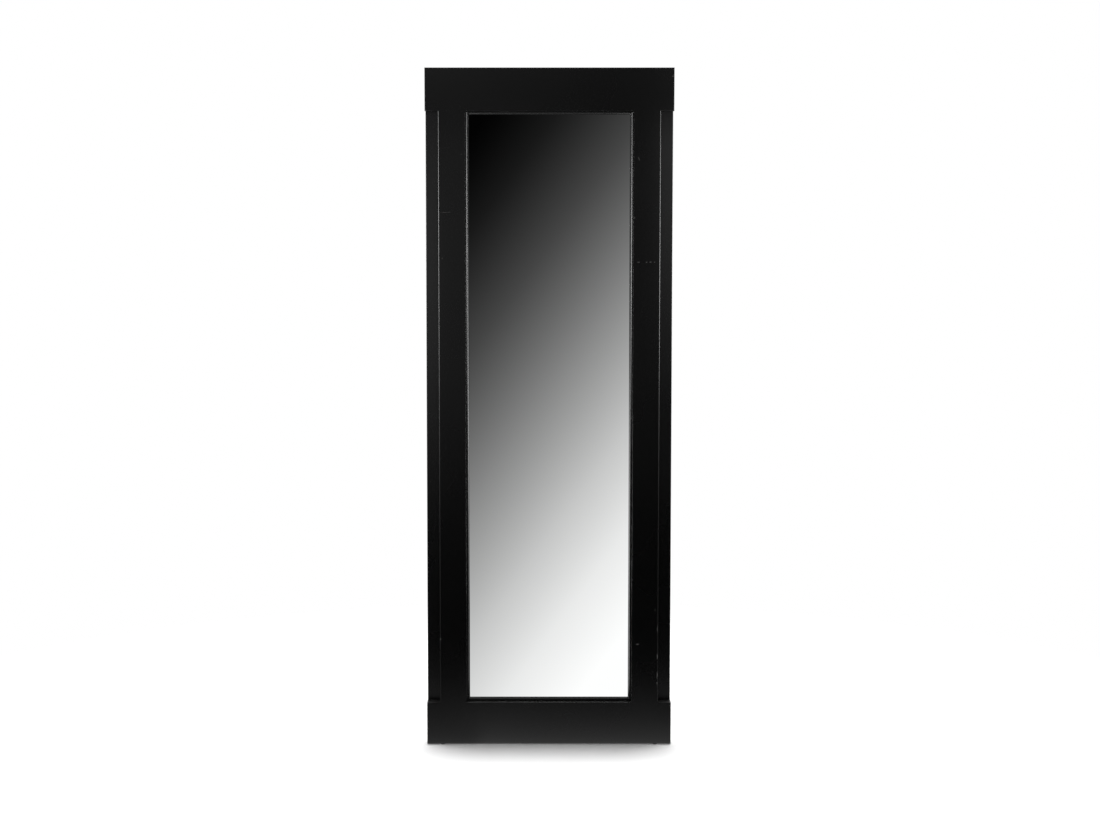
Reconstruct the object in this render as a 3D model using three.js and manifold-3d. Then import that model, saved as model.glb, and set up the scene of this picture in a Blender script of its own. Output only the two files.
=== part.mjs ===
import * as THREE from 'three';
import { mergeVertices } from 'three/addons/utils/BufferGeometryUtils.js';
import Module from 'manifold-3d';

// Full length framed mirror, in millimetres, +Z up. The mirror looks towards -Y and +X is on the
// viewer's right. The origin lies on the floor, under the middle of the outer box.

// Overall size, from the floor to the top rail and from end to end of the rails
const overallWidth = 737;
const overallHeight = 2030;

// Face frame: two full width rails with two stiles between them, all flush in front
const railHeight = 127;
const stileWidth = 80;
const faceThickness = 38;
const arrisRadius = 3;
const sightArrisRadius = 0.5;

// Rear frame: its stiles stay in sight as a strip beside each face stile, set back behind the rails,
// whose ends stand out past the strips
const stripWidth = 38.5;
const stripArrisRadius = 1.5;
const railOverhang = 1;

// Glass rebate, formed by the wider opening of the rear frame
const sideRebateWidth = 5.5;
const endRebateWidth = 8;
const glassSideClearance = 2;
const glassTopClearance = 3;

// What fills the rebate, from the front to the back
const glassThickness = 5;
const underlayThickness = 3;
const panelThickness = 10;
const panelClearance = 1;

// Bead that frames the sight edge of the glass
const beadWidth = 9.5;
const beadDepth = 11;
const beadInnerEdge = 1.4;
const beadFrontLand = 2.5;
const mitreGap = 0.15;

// Setting blocks that carry the glass
const settingBlockLength = 80;
const settingBlockThickness = 3;

// Loose tenons that join the stiles to the rails
const tenonLength = 60;
const tenonWidth = 50;
const tenonThickness = 12;
const tenonClearance = 0.2;
const tenonEndClearance = 1;

// Turn buttons that hold the back panel
const buttonLength = 38;
const buttonWidth = 14;
const buttonThickness = 2.4;
const buttonCrown = 0.5;
const buttonPivotInset = 14;

// Strap hangers, each with a D ring that swings in its rolled eye
const strapWidth = 20;
const strapThickness = 1.6;
const strapDrop = 330;
const strapHolePitch = 16;
const strapEndMargin = 9;
const eyeClearance = 0.3;
const ringWire = 3.6;
const ringInnerWidth = 30;
const ringLength = 26;
const ringCornerRadius = 4.5;
const ringSplit = 0.4;
const ringHeadSpace = 2;

// Screws: the small ones hold the buttons and bumpers, the large ones hold the straps
const smallHeadRadius = 4;
const smallHeadHeight = 2.2;
const smallShankRadius = 1.8;
const smallShankLength = 16;
const largeHeadRadius = 4.4;
const largeHeadHeight = 2.6;
const largeShankRadius = 2.1;
const largeShankLength = 15;
const screwTipLength = 4;
const recessWidth = 1.3;
const holeClearance = 0.3;

// Rubber bumpers that keep the back off the wall
const bumperRadius = 10;
const bumperTopRadius = 8.5;
const bumperHeight = 9;
const bumperEdgeRound = 1.2;
const bumperRecessDepth = 5;
const bumperRecessRadius = 5.2;
const bumperSideInset = 26;
const bumperEndInset = 32;

// Pads under the frame
const padRadius = 7;
const padThickness = 2;
const padSideInset = 48;
const padEdgeInset = 0.5;

// Gaps and tools
const turningGap = 0.3;
const overrun = 5;

// Shares of the pieces that carry them
const settingBlockPlaceShare = 0.25;
const buttonHeightShares = [0.12, 0.5, 0.88];
const recessLengthShare = 1.15;
const recessDepthShare = 0.62;
const domeRiseShare = 0.42;
const beadFullnessShare = 0.3;

// Smoothness of the round forms
const arcSteps = 4;
const roundSteps = 16;
const screwSteps = 12;
const wireSides = 8;
const wireSteps = 36;
const bendSteps = 4;
const bowSteps = 12;

// Planes that the sizes give
const halfWidth = overallWidth / 2;
const rearThickness = glassThickness + underlayThickness + panelThickness;
const frontY = -(faceThickness + rearThickness + bumperHeight) / 2;
const rebateY = frontY + faceThickness;
const backY = rebateY + rearThickness;
const frameBottomZ = padThickness;
const stripOuterX = halfWidth - railOverhang;
const stileOuterX = stripOuterX - stripWidth;
const stileInnerX = stileOuterX - stileWidth;
const openingBottomZ = frameBottomZ + railHeight;
const openingTopZ = overallHeight - railHeight;
const openingMiddleZ = (openingBottomZ + openingTopZ) / 2;
const rebateHalfWidth = stileInnerX + sideRebateWidth;
const rebateBottomZ = openingBottomZ - endRebateWidth;
const rebateTopZ = openingTopZ + endRebateWidth;
const buttonPivotX = rebateHalfWidth + buttonPivotInset;

const toX = new THREE.Vector3(1, 0, 0);
const toY = new THREE.Vector3(0, 1, 0);
const toZ = new THREE.Vector3(0, 0, 1);
const fromX = toX.clone().negate();
const fromZ = toZ.clone().negate();

const wasm = await Module();
wasm.setup();

// Boolean helpers

function toSolid(geometry) {
  const bare = geometry.clone();
  bare.deleteAttribute('normal');
  bare.deleteAttribute('uv');
  const merged = mergeVertices(bare);
  const corners = merged.index.array;
  const kept = [];
  for (let i = 0; i < corners.length; i += 3) {
    const [a, b, c] = [corners[i], corners[i + 1], corners[i + 2]];
    if (a !== b && b !== c && c !== a) kept.push(a, b, c);
  }
  const vertProperties = new Float32Array(merged.attributes.position.array);
  const triVerts = new Uint32Array(kept);
  return new wasm.Manifold(new wasm.Mesh({ numProp: 3, vertProperties, triVerts }));
}

function toGeometry(solid) {
  const mesh = solid.getMesh();
  const indexed = new THREE.BufferGeometry();
  indexed.setAttribute('position', new THREE.BufferAttribute(mesh.vertProperties, 3));
  indexed.setIndex(new THREE.BufferAttribute(mesh.triVerts, 1));
  const geometry = indexed.toNonIndexed();
  geometry.computeVertexNormals();
  return geometry;
}

function cut(geometry, tools) {
  let solid = toSolid(geometry);
  for (const tool of tools) solid = solid.subtract(toSolid(tool));
  return toGeometry(solid);
}

// Plain forms

function block(x0, x1, y0, y1, z0, z1) {
  const box = new THREE.BoxGeometry(x1 - x0, y1 - y0, z1 - z0);
  box.translate((x0 + x1) / 2, (y0 + y1) / 2, (z0 + z1) / 2);
  return box;
}

function extrude(shape, depth) {
  return new THREE.ExtrudeGeometry(shape, { depth, bevelEnabled: false, curveSegments: arcSteps });
}

function stadium(length, width) {
  const radius = width / 2;
  const reach = length / 2 - radius;
  const shape = new THREE.Shape();
  shape.absarc(reach, 0, radius, -Math.PI / 2, Math.PI / 2, false);
  shape.absarc(-reach, 0, radius, Math.PI / 2, Math.PI * 1.5, false);
  shape.closePath();
  return shape;
}

// Cutter that rounds one straight edge: it lies on the edge's middle, and the two directions point
// from the edge along the faces that meet there
function arrisTool(radius, length, middle, inwardA, inwardB) {
  const shape = new THREE.Shape();
  shape.moveTo(-overrun, -overrun);
  shape.lineTo(radius, -overrun);
  shape.lineTo(radius, 0);
  shape.absarc(radius, radius, radius, -Math.PI / 2, -Math.PI, true);
  shape.lineTo(-overrun, radius);
  shape.closePath();
  const tool = extrude(shape, length);
  tool.translate(0, 0, -length / 2);
  const along = new THREE.Vector3().crossVectors(inwardA, inwardB);
  const place = new THREE.Matrix4().makeBasis(inwardA, inwardB, along).setPosition(middle);
  tool.applyMatrix4(place);
  return tool;
}

function drill(x, z, radius, depth) {
  const tool = new THREE.CylinderGeometry(radius, radius, depth + overrun, screwSteps);
  tool.translate(x, backY + (overrun - depth) / 2, z);
  return tool;
}

// Materials

function standard(color, roughness, metalness) {
  return new THREE.MeshStandardMaterial({ color, roughness, metalness });
}

const blackLacquer = () => standard(0x16161a, 0.32, 0);
const blackBack = () => standard(0x1c1c1e, 0.6, 0);
const silvered = () => standard(0xc9ced1, 0.03, 1);
const foam = () => standard(0xd8d8d2, 0.95, 0);
const fibreboard = () => standard(0x8a6a48, 0.8, 0);
const beech = () => standard(0xc49a6a, 0.7, 0);
const softRubber = () => standard(0x232323, 0.85, 0);
const plated = () => standard(0xb9bcc0, 0.34, 1);
const felt = () => standard(0x3a3835, 0.97, 0);

// Face frame

function tenonMiddleZ(side) {
  return side > 0 ? openingTopZ : openingBottomZ;
}

function tenonBody(side, edge, extraAround, extraAtEnd) {
  const length = tenonLength + 2 * extraAtEnd;
  const shape = stadium(tenonWidth + 2 * extraAround, tenonThickness + 2 * extraAround);
  const body = extrude(shape, length);
  body.translate(side * (stileInnerX + stileOuterX) / 2, frontY + faceThickness / 2, 0);
  body.translate(0, 0, tenonMiddleZ(edge) - length / 2);
  return body;
}

function mortise(side, edge) {
  return tenonBody(side, edge, tenonClearance, tenonEndClearance);
}

// A rail is rounded in front: all along its outer edge, down its ends, and on its inner edge over
// each side strip. Over the glass its inner edge is only eased, like the stiles' sight edges
function rail(edge) {
  const lowZ = edge > 0 ? openingTopZ : frameBottomZ;
  const highZ = lowZ + railHeight;
  const outerZ = edge > 0 ? highZ : lowZ;
  const innerZ = edge > 0 ? lowZ : highZ;
  const fromOuter = edge > 0 ? fromZ : toZ;
  const fromInner = edge > 0 ? toZ : fromZ;
  const body = block(-halfWidth, halfWidth, frontY, rebateY, lowZ, highZ);
  const tools = [];
  const topMiddle = new THREE.Vector3(0, frontY, outerZ);
  tools.push(arrisTool(arrisRadius, overallWidth + 2 * overrun, topMiddle, fromOuter, toY));
  const glassMiddle = new THREE.Vector3(0, frontY, innerZ);
  tools.push(arrisTool(sightArrisRadius, 2 * stileInnerX, glassMiddle, fromInner, toY));
  for (const side of [-1, 1]) {
    const inward = side > 0 ? fromX : toX;
    const endMiddle = new THREE.Vector3(side * halfWidth, frontY, (lowZ + highZ) / 2);
    tools.push(arrisTool(arrisRadius, railHeight + 2 * overrun, endMiddle, inward, toY));
    const ledgeLength = halfWidth - stileOuterX + overrun;
    const ledgeX = side * (stileOuterX + ledgeLength / 2);
    const ledgeMiddle = new THREE.Vector3(ledgeX, frontY, innerZ);
    tools.push(arrisTool(arrisRadius, ledgeLength, ledgeMiddle, fromInner, toY));
    tools.push(mortise(side, edge));
  }
  return cut(body, tools);
}

function faceStile(side) {
  const x0 = side > 0 ? stileInnerX : -stileOuterX;
  const body = block(x0, x0 + stileWidth, frontY, rebateY, openingBottomZ, openingTopZ);
  const length = openingTopZ - openingBottomZ + 2 * overrun;
  const inward = side > 0 ? fromX : toX;
  const outward = side > 0 ? toX : fromX;
  const outerMiddle = new THREE.Vector3(side * stileOuterX, frontY, openingMiddleZ);
  const sightMiddle = new THREE.Vector3(side * stileInnerX, frontY, openingMiddleZ);
  const tools = [
    arrisTool(arrisRadius, length, outerMiddle, inward, toY),
    arrisTool(sightArrisRadius, length, sightMiddle, outward, toY),
    mortise(side, -1),
    mortise(side, 1),
  ];
  return cut(body, tools);
}

// Rear frame

function buttonZ(share) {
  return rebateBottomZ + share * (rebateTopZ - rebateBottomZ);
}

// Z of the axis that the D rings swing on, and how far down their straps the two screws sit
const eyeRadius = ringWire / 2 + eyeClearance + strapThickness;
const eyeZ = overallHeight - strapDrop;
const firstStrapHole = ringLength + ringWire / 2 + ringHeadSpace + largeHeadRadius;
const strapHoles = [firstStrapHole, firstStrapHole + strapHolePitch];
const strapLength = firstStrapHole + strapHolePitch + strapEndMargin;
const strapX = (halfWidth + buttonPivotX + buttonWidth / 2) / 2;

const bumperX = halfWidth - bumperSideInset;
const bumperHeights = [frameBottomZ + bumperEndInset, overallHeight - bumperEndInset];
const bumperSeatY = bumperHeight - bumperRecessDepth;
const smallHole = smallShankRadius + holeClearance;
const largeHole = largeShankRadius + holeClearance;
const buttonSeatY = 2 * turningGap + buttonThickness;
const buttonHoleDepth = smallShankLength - buttonSeatY + holeClearance;
const bumperHoleDepth = smallShankLength - bumperSeatY + holeClearance;
const strapHoleDepth = largeShankLength - strapThickness + holeClearance;

function rearStile(side) {
  const x0 = side > 0 ? rebateHalfWidth : -stripOuterX;
  const width = stripOuterX - rebateHalfWidth;
  const body = block(x0, x0 + width, rebateY, backY, frameBottomZ, overallHeight);
  const inward = side > 0 ? fromX : toX;
  const length = overallHeight + 2 * overrun;
  const frontEdge = new THREE.Vector3(side * stripOuterX, rebateY, overallHeight / 2);
  const backEdge = new THREE.Vector3(side * stripOuterX, backY, overallHeight / 2);
  const outOfBack = toY.clone().negate();
  const tools = [
    arrisTool(stripArrisRadius, length, frontEdge, inward, toY),
    arrisTool(stripArrisRadius, length, backEdge, inward, outOfBack),
  ];
  for (const share of buttonHeightShares) {
    tools.push(drill(side * buttonPivotX, buttonZ(share), smallHole, buttonHoleDepth));
  }
  for (const hole of strapHoles) {
    tools.push(drill(side * strapX, eyeZ - hole, largeHole, strapHoleDepth));
  }
  for (const z of bumperHeights) {
    tools.push(drill(side * bumperX, z, smallHole, bumperHoleDepth));
  }
  return cut(body, tools);
}

function rearRail(edge) {
  const lowZ = edge > 0 ? rebateTopZ : frameBottomZ;
  const highZ = edge > 0 ? overallHeight : rebateBottomZ;
  const body = block(-rebateHalfWidth, rebateHalfWidth, rebateY, backY, lowZ, highZ);
  const pivotZ = edge > 0 ? rebateTopZ + buttonPivotInset : rebateBottomZ - buttonPivotInset;
  return cut(body, [drill(0, pivotZ, smallHole, buttonHoleDepth)]);
}

// Glass and what backs it

const glassHalfWidth = rebateHalfWidth - glassSideClearance;
const glassBottomZ = rebateBottomZ + settingBlockThickness;
const glassTopZ = rebateTopZ - glassTopClearance;
const underlayY = rebateY + glassThickness;
const panelY = underlayY + underlayThickness;

function glassSheet() {
  return block(-glassHalfWidth, glassHalfWidth, rebateY, underlayY, glassBottomZ, glassTopZ);
}

function underlaySheet() {
  return block(-glassHalfWidth, glassHalfWidth, underlayY, panelY, glassBottomZ, glassTopZ);
}

function backPanel() {
  const x = rebateHalfWidth - panelClearance;
  const lowZ = rebateBottomZ + panelClearance;
  return block(-x, x, panelY, backY, lowZ, rebateTopZ - panelClearance);
}

function settingBlock(side) {
  const middle = side * 2 * glassHalfWidth * settingBlockPlaceShare;
  const half = settingBlockLength / 2;
  return block(middle - half, middle + half, rebateY, panelY, rebateBottomZ, glassBottomZ);
}

// Bead profile: x runs from the frame towards the glass, y from the glass to the front, with a
// gently convex face that falls away towards the glass
function beadShape() {
  const middleX = (beadWidth + beadFrontLand) / 2;
  const middleY = (beadInnerEdge + beadDepth) / 2;
  const fullX = middleX + beadFullnessShare * (beadWidth - middleX);
  const fullY = middleY + beadFullnessShare * (beadDepth - middleY);
  const shape = new THREE.Shape();
  shape.moveTo(0, 0);
  shape.lineTo(beadWidth, 0);
  shape.lineTo(beadWidth, beadInnerEdge);
  shape.quadraticCurveTo(fullX, fullY, beadFrontLand, beadDepth);
  shape.lineTo(0, beadDepth);
  shape.closePath();
  return shape;
}

// A bead runs along one side of the opening and is mitred at both ends
function bead(length, middle, towardGlass) {
  const geometry = extrude(beadShape(), length);
  const place = geometry.attributes.position;
  for (let i = 0; i < place.count; i += 1) {
    const reach = length / 2 - mitreGap - place.getX(i);
    place.setZ(i, place.getZ(i) < length / 2 ? -reach : reach);
  }
  const forward = toY.clone().negate();
  const along = new THREE.Vector3().crossVectors(towardGlass, forward);
  geometry.applyMatrix4(new THREE.Matrix4().makeBasis(towardGlass, forward, along));
  geometry.translate(middle.x, middle.y, middle.z);
  return geometry;
}

// Fasteners, each with its head towards +Y and its shank along -Y from the seat of the head

function crossScrew(headRadius, headHeight, shankRadius, shankLength) {
  const rise = headHeight * domeRiseShare;
  const profile = [
    new THREE.Vector2(0, -shankLength),
    new THREE.Vector2(shankRadius, -shankLength + screwTipLength),
    new THREE.Vector2(shankRadius, 0),
    new THREE.Vector2(headRadius, 0),
    new THREE.Vector2(headRadius, headHeight - rise * 2),
  ];
  for (let i = 1; i <= arcSteps; i += 1) {
    const turn = (Math.PI / 2) * (i / arcSteps);
    const radius = i === arcSteps ? 0 : headRadius * Math.cos(turn);
    profile.push(new THREE.Vector2(radius, headHeight - 2 * rise + 2 * rise * Math.sin(turn)));
  }
  const body = new THREE.LatheGeometry(profile, screwSteps);
  const reach = (headRadius * recessLengthShare) / 2;
  const half = recessWidth / 2;
  const floorY = headHeight * (1 - recessDepthShare);
  const topY = headHeight + overrun;
  const lengthwise = block(-reach, reach, floorY, topY, -half, half);
  const crosswise = block(-half, half, floorY, topY, -reach, reach);
  return cut(body, [lengthwise, crosswise]);
}

function smallScrew() {
  return crossScrew(smallHeadRadius, smallHeadHeight, smallShankRadius, smallShankLength);
}

function largeScrew() {
  return crossScrew(largeHeadRadius, largeHeadHeight, largeShankRadius, largeShankLength);
}

// A turn button lies along +X from its pivot, with a bevelled upper edge
function turnButton() {
  const shape = stadium(buttonLength - 2 * buttonCrown, buttonWidth - 2 * buttonCrown);
  const hole = new THREE.Path();
  hole.absarc(buttonWidth / 2 - buttonLength / 2, 0, smallHole + buttonCrown, 0, Math.PI * 2, true);
  shape.holes.push(hole);
  const geometry = new THREE.ExtrudeGeometry(shape, {
    depth: buttonThickness - 2 * buttonCrown,
    bevelThickness: buttonCrown,
    bevelSize: buttonCrown,
    bevelSegments: 1,
    curveSegments: arcSteps,
  });
  geometry.translate(buttonLength / 2 - buttonWidth / 2, 0, buttonCrown);
  geometry.rotateX(-Math.PI / 2);
  return geometry;
}

function bumper() {
  const hole = smallHole;
  const topY = bumperHeight;
  const profile = [
    new THREE.Vector2(hole, 0),
    new THREE.Vector2(bumperRadius, 0),
    new THREE.Vector2(bumperTopRadius, topY - bumperEdgeRound),
    new THREE.Vector2(bumperTopRadius - bumperEdgeRound, topY),
    new THREE.Vector2(bumperRecessRadius, topY),
    new THREE.Vector2(bumperRecessRadius, bumperSeatY),
    new THREE.Vector2(hole, bumperSeatY),
    new THREE.Vector2(hole, 0),
  ];
  return new THREE.LatheGeometry(profile, roundSteps);
}

function floorPad() {
  const pad = new THREE.CylinderGeometry(padRadius, padRadius, padThickness, roundSteps);
  pad.rotateX(Math.PI / 2);
  pad.translate(0, 0, padThickness / 2);
  return pad;
}

// The strap lies on the frame's back, y = 0, and rolls over into an eye round the ring's axis,
// which is at z = 0
function strap() {
  const inner = eyeRadius - strapThickness;
  const lip = -Math.PI * 0.58;
  const side = new THREE.Shape();
  side.moveTo(0, -strapLength);
  side.lineTo(0, 0);
  side.absarc(eyeRadius, 0, eyeRadius, Math.PI, lip, true);
  side.absarc(eyeRadius, 0, inner, lip, Math.PI, false);
  side.lineTo(strapThickness, -strapLength);
  side.closePath();
  const sideSteps = { depth: strapWidth, bevelEnabled: false, curveSegments: roundSteps };
  const rolled = new THREE.ExtrudeGeometry(side, sideSteps);
  rolled.translate(0, 0, -strapWidth / 2);
  rolled.applyMatrix4(new THREE.Matrix4().makeBasis(toY, toZ, toX));

  const half = strapWidth / 2;
  const face = new THREE.Shape();
  face.moveTo(-half, eyeRadius + overrun);
  face.lineTo(-half, half - strapLength);
  face.absarc(0, half - strapLength, half, Math.PI, Math.PI * 2, false);
  face.lineTo(half, eyeRadius + overrun);
  face.closePath();
  const plan = extrude(face, 2 * eyeRadius + 2 * overrun);
  plan.rotateX(Math.PI / 2);
  plan.translate(0, 2 * eyeRadius + overrun, 0);

  let solid = toSolid(rolled).intersect(toSolid(plan));
  for (const hole of strapHoles) {
    const tool = new THREE.CylinderGeometry(largeHole, largeHole, 2 * overrun, screwSteps);
    tool.translate(0, 0, -hole);
    solid = solid.subtract(toSolid(tool));
  }
  return toGeometry(solid);
}

// The ring's wire starts and ends in the eye, where its two ends face each other
function ringPath() {
  const half = ringInnerWidth / 2 + ringWire / 2;
  const corner = half - ringCornerRadius;
  const bowZ = half - ringLength;
  const points = [new THREE.Vector3(ringSplit / 2, 0, 0)];
  for (let i = 0; i <= bendSteps; i += 1) {
    const turn = (Math.PI / 2) * (i / bendSteps);
    const x = corner + ringCornerRadius * Math.sin(turn);
    points.push(new THREE.Vector3(x, 0, ringCornerRadius * (Math.cos(turn) - 1)));
  }
  for (let i = 0; i <= bowSteps; i += 1) {
    const turn = Math.PI * (i / bowSteps);
    points.push(new THREE.Vector3(half * Math.cos(turn), 0, bowZ - half * Math.sin(turn)));
  }
  for (let i = bendSteps; i >= 0; i -= 1) {
    const turn = (Math.PI / 2) * (i / bendSteps);
    const x = -corner - ringCornerRadius * Math.sin(turn);
    points.push(new THREE.Vector3(x, 0, ringCornerRadius * (Math.cos(turn) - 1)));
  }
  points.push(new THREE.Vector3(-ringSplit / 2, 0, 0));
  const path = new THREE.CurvePath();
  for (let i = 1; i < points.length; i += 1) {
    path.add(new THREE.LineCurve3(points[i - 1], points[i]));
  }
  return path;
}

function dRing() {
  const section = new THREE.Shape();
  for (let i = 0; i < wireSides; i += 1) {
    const turn = 2 * Math.PI * ((i + 1 / 2) / wireSides);
    const x = (ringWire / 2) * Math.cos(turn);
    const y = (ringWire / 2) * Math.sin(turn);
    if (i === 0) section.moveTo(x, y);
    else section.lineTo(x, y);
  }
  section.closePath();
  return new THREE.ExtrudeGeometry(section, { steps: wireSteps, extrudePath: ringPath() });
}

// Assembly

const mirror = new THREE.Group();

function addPiece(parent, name, geometry, material, x = 0, y = 0, z = 0) {
  const mesh = new THREE.Mesh(geometry, material);
  mesh.name = name;
  mesh.position.set(x, y, z);
  parent.add(mesh);
  return mesh;
}

function addGroup() {
  const group = new THREE.Group();
  mirror.add(group);
  return group;
}

const sides = [[-1, 'left'], [1, 'right']];
const edges = [[-1, 'bottom'], [1, 'top']];

function addFaceFrame() {
  const group = addGroup();
  for (const [edge, edgeName] of edges) {
    addPiece(group, `${edgeName}_rail`, rail(edge), blackLacquer());
  }
  for (const [side, sideName] of sides) {
    addPiece(group, `${sideName}_stile`, faceStile(side), blackLacquer());
    for (const [edge, edgeName] of edges) {
      const tenon = tenonBody(side, edge, 0, 0);
      addPiece(group, `loose_tenon_${edgeName}_${sideName}`, tenon, beech());
    }
  }
}

function addRearFrame() {
  const group = addGroup();
  for (const [side, sideName] of sides) {
    addPiece(group, `rear_stile_${sideName}`, rearStile(side), blackLacquer());
  }
  for (const [edge, edgeName] of edges) {
    addPiece(group, `rear_rail_${edgeName}`, rearRail(edge), blackBack());
  }
}

function addGlass() {
  const group = addGroup();
  addPiece(group, 'mirror_glass', glassSheet(), silvered());
  addPiece(group, 'foam_underlay', underlaySheet(), foam());
  addPiece(group, 'back_panel', backPanel(), fibreboard());
  for (const [side, sideName] of sides) {
    addPiece(group, `setting_block_${sideName}`, settingBlock(side), softRubber());
  }
  const height = openingTopZ - openingBottomZ;
  for (const [side, sideName] of sides) {
    const middle = new THREE.Vector3(side * stileInnerX, rebateY, openingMiddleZ);
    const inward = side > 0 ? fromX : toX;
    addPiece(group, `bead_${sideName}`, bead(height, middle, inward), blackLacquer());
  }
  for (const [edge, edgeName] of edges) {
    const middle = new THREE.Vector3(0, rebateY, edge > 0 ? openingTopZ : openingBottomZ);
    const inward = edge > 0 ? fromZ : toZ;
    addPiece(group, `bead_${edgeName}`, bead(2 * stileInnerX, middle, inward), blackLacquer());
  }
}

function addButton(group, place, x, z, turn) {
  const button = addPiece(group, `turn_button_${place}`, turnButton(), plated());
  button.position.set(x, backY + turningGap, z);
  button.rotation.y = turn;
  addPiece(group, `button_screw_${place}`, smallScrew(), plated(), x, backY + buttonSeatY, z);
}

function addButtons() {
  const group = addGroup();
  const heightNames = ['lower', 'middle', 'upper'];
  for (const [side, sideName] of sides) {
    buttonHeightShares.forEach((share, i) => {
      const turn = side > 0 ? Math.PI : 0;
      const place = `${sideName}_${heightNames[i]}`;
      addButton(group, place, side * buttonPivotX, buttonZ(share), turn);
    });
  }
  addButton(group, 'top', 0, rebateTopZ + buttonPivotInset, Math.PI / 2);
  addButton(group, 'bottom', 0, rebateBottomZ - buttonPivotInset, -Math.PI / 2);
}

function addHangers() {
  const group = addGroup();
  const screwNames = ['upper', 'lower'];
  for (const [side, sideName] of sides) {
    const x = side * strapX;
    addPiece(group, `hanger_strap_${sideName}`, strap(), plated(), x, backY, eyeZ);
    addPiece(group, `d_ring_${sideName}`, dRing(), plated(), x, backY + eyeRadius, eyeZ);
    strapHoles.forEach((hole, i) => {
      const name = `hanger_screw_${sideName}_${screwNames[i]}`;
      addPiece(group, name, largeScrew(), plated(), x, backY + strapThickness, eyeZ - hole);
    });
  }
}

function addRests() {
  const group = addGroup();
  for (const [side, sideName] of sides) {
    bumperHeights.forEach((z, i) => {
      const edgeName = edges[i][1];
      const x = side * bumperX;
      addPiece(group, `wall_bumper_${edgeName}_${sideName}`, bumper(), softRubber(), x, backY, z);
      const name = `bumper_screw_${edgeName}_${sideName}`;
      addPiece(group, name, smallScrew(), plated(), x, backY + bumperSeatY, z);
    });
    const padX = side * (halfWidth - padSideInset);
    const padReach = padRadius + padEdgeInset;
    addPiece(group, `floor_pad_front_${sideName}`, floorPad(), felt(), padX, frontY + padReach);
    addPiece(group, `floor_pad_rear_${sideName}`, floorPad(), felt(), padX, backY - padReach);
  }
}

addFaceFrame();
addRearFrame();
addGlass();
addButtons();
addHangers();
addRests();

export default mirror;
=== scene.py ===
import bpy
import bmesh
import math
from mathutils import Matrix, Vector


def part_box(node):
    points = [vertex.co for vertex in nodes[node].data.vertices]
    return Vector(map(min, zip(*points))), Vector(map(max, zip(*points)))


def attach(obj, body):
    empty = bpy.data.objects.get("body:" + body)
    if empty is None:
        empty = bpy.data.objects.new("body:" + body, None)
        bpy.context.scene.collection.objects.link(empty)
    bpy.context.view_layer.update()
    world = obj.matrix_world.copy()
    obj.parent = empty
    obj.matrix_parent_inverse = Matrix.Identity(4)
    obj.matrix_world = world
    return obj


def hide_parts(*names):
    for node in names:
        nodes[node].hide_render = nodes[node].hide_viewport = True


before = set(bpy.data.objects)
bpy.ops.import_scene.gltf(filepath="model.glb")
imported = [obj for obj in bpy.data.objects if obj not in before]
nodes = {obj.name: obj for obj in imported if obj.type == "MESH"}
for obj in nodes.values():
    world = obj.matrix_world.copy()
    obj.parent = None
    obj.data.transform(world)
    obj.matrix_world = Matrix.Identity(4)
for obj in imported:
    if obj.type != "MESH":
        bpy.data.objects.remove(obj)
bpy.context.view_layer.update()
print("frame loaded with", len(nodes), "nodes")

scene = bpy.context.scene
scene.view_settings.view_transform = "Standard"
sides = {"left": -1, "right": 1}


# camera

cameraSettings = {
    "lens": 75.29,  # mm, on a 36 mm wide sensor
    "place": (-0.055, -6.8685, 1.676),  # eye level, a little left of the middle
    "pitchDown": 5.554,  # degrees
    "shift": 0.01745,  # to the right, as a share of the picture's width
}


def makeCamera():
    data = bpy.data.cameras.new("camera")
    data.sensor_fit = "HORIZONTAL"
    data.sensor_width = 36.0
    data.lens = cameraSettings["lens"]
    data.shift_x = cameraSettings["shift"]
    data.clip_start = 0.05
    data.clip_end = 60.0
    camera = bpy.data.objects.new("camera", data)
    camera.location = cameraSettings["place"]
    camera.rotation_euler = (math.radians(90 - cameraSettings["pitchDown"]), 0, 0)
    scene.collection.objects.link(camera)
    scene.camera = camera


makeCamera()


# small helpers for node trees

def feed(tree, socket, value):
    # an input takes a plain value or a link
    if isinstance(value, bpy.types.NodeSocket):
        tree.links.new(value, socket)
    else:
        socket.default_value = value


def feedAll(tree, node, **values):
    for key, value in values.items():
        feed(tree, node.inputs[key.replace("_", " ")], value)


def put(tree, kind, **values):
    # new node; the keys are its properties or its inputs' names
    node = tree.nodes.new(kind)
    for key, value in values.items():
        if hasattr(node, key):
            setattr(node, key, value)
        else:
            name = key.replace("_", " ")
            feed(tree, next(s for s in node.inputs if s.name == name and s.enabled), value)
    return node


def join(tree, source, target):
    tree.links.new(source, target)


def shaderGroup(name, inputs, *outputs):
    # shader node group with named number inputs and outputs
    tree = bpy.data.node_groups.new(name, "ShaderNodeTree")
    for label, value in inputs.items():
        socket = tree.interface.new_socket(label, in_out="INPUT", socket_type="NodeSocketFloat")
        socket.default_value = value
    for label in outputs:
        tree.interface.new_socket(label, in_out="OUTPUT", socket_type="NodeSocketFloat")
    given = tree.nodes.new("NodeGroupInput")
    return tree, given.outputs, tree.nodes.new("NodeGroupOutput")


def useGroup(tree, group, **values):
    return put(tree, "ShaderNodeGroup", node_tree=group, **values).outputs


def maths(tree, operation, first, second=None, clamp=False):
    node = put(tree, "ShaderNodeMath", operation=operation, use_clamp=clamp)
    feed(tree, node.inputs[0], first)
    if second is not None:
        feed(tree, node.inputs[1], second)
    return node.outputs[0]


def times(tree, first, second, clamp=False):
    return maths(tree, "MULTIPLY", first, second, clamp)


def plus(tree, first, second):
    return maths(tree, "ADD", first, second)


def minus(tree, first, second, clamp=False):
    return maths(tree, "SUBTRACT", first, second, clamp)


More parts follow.
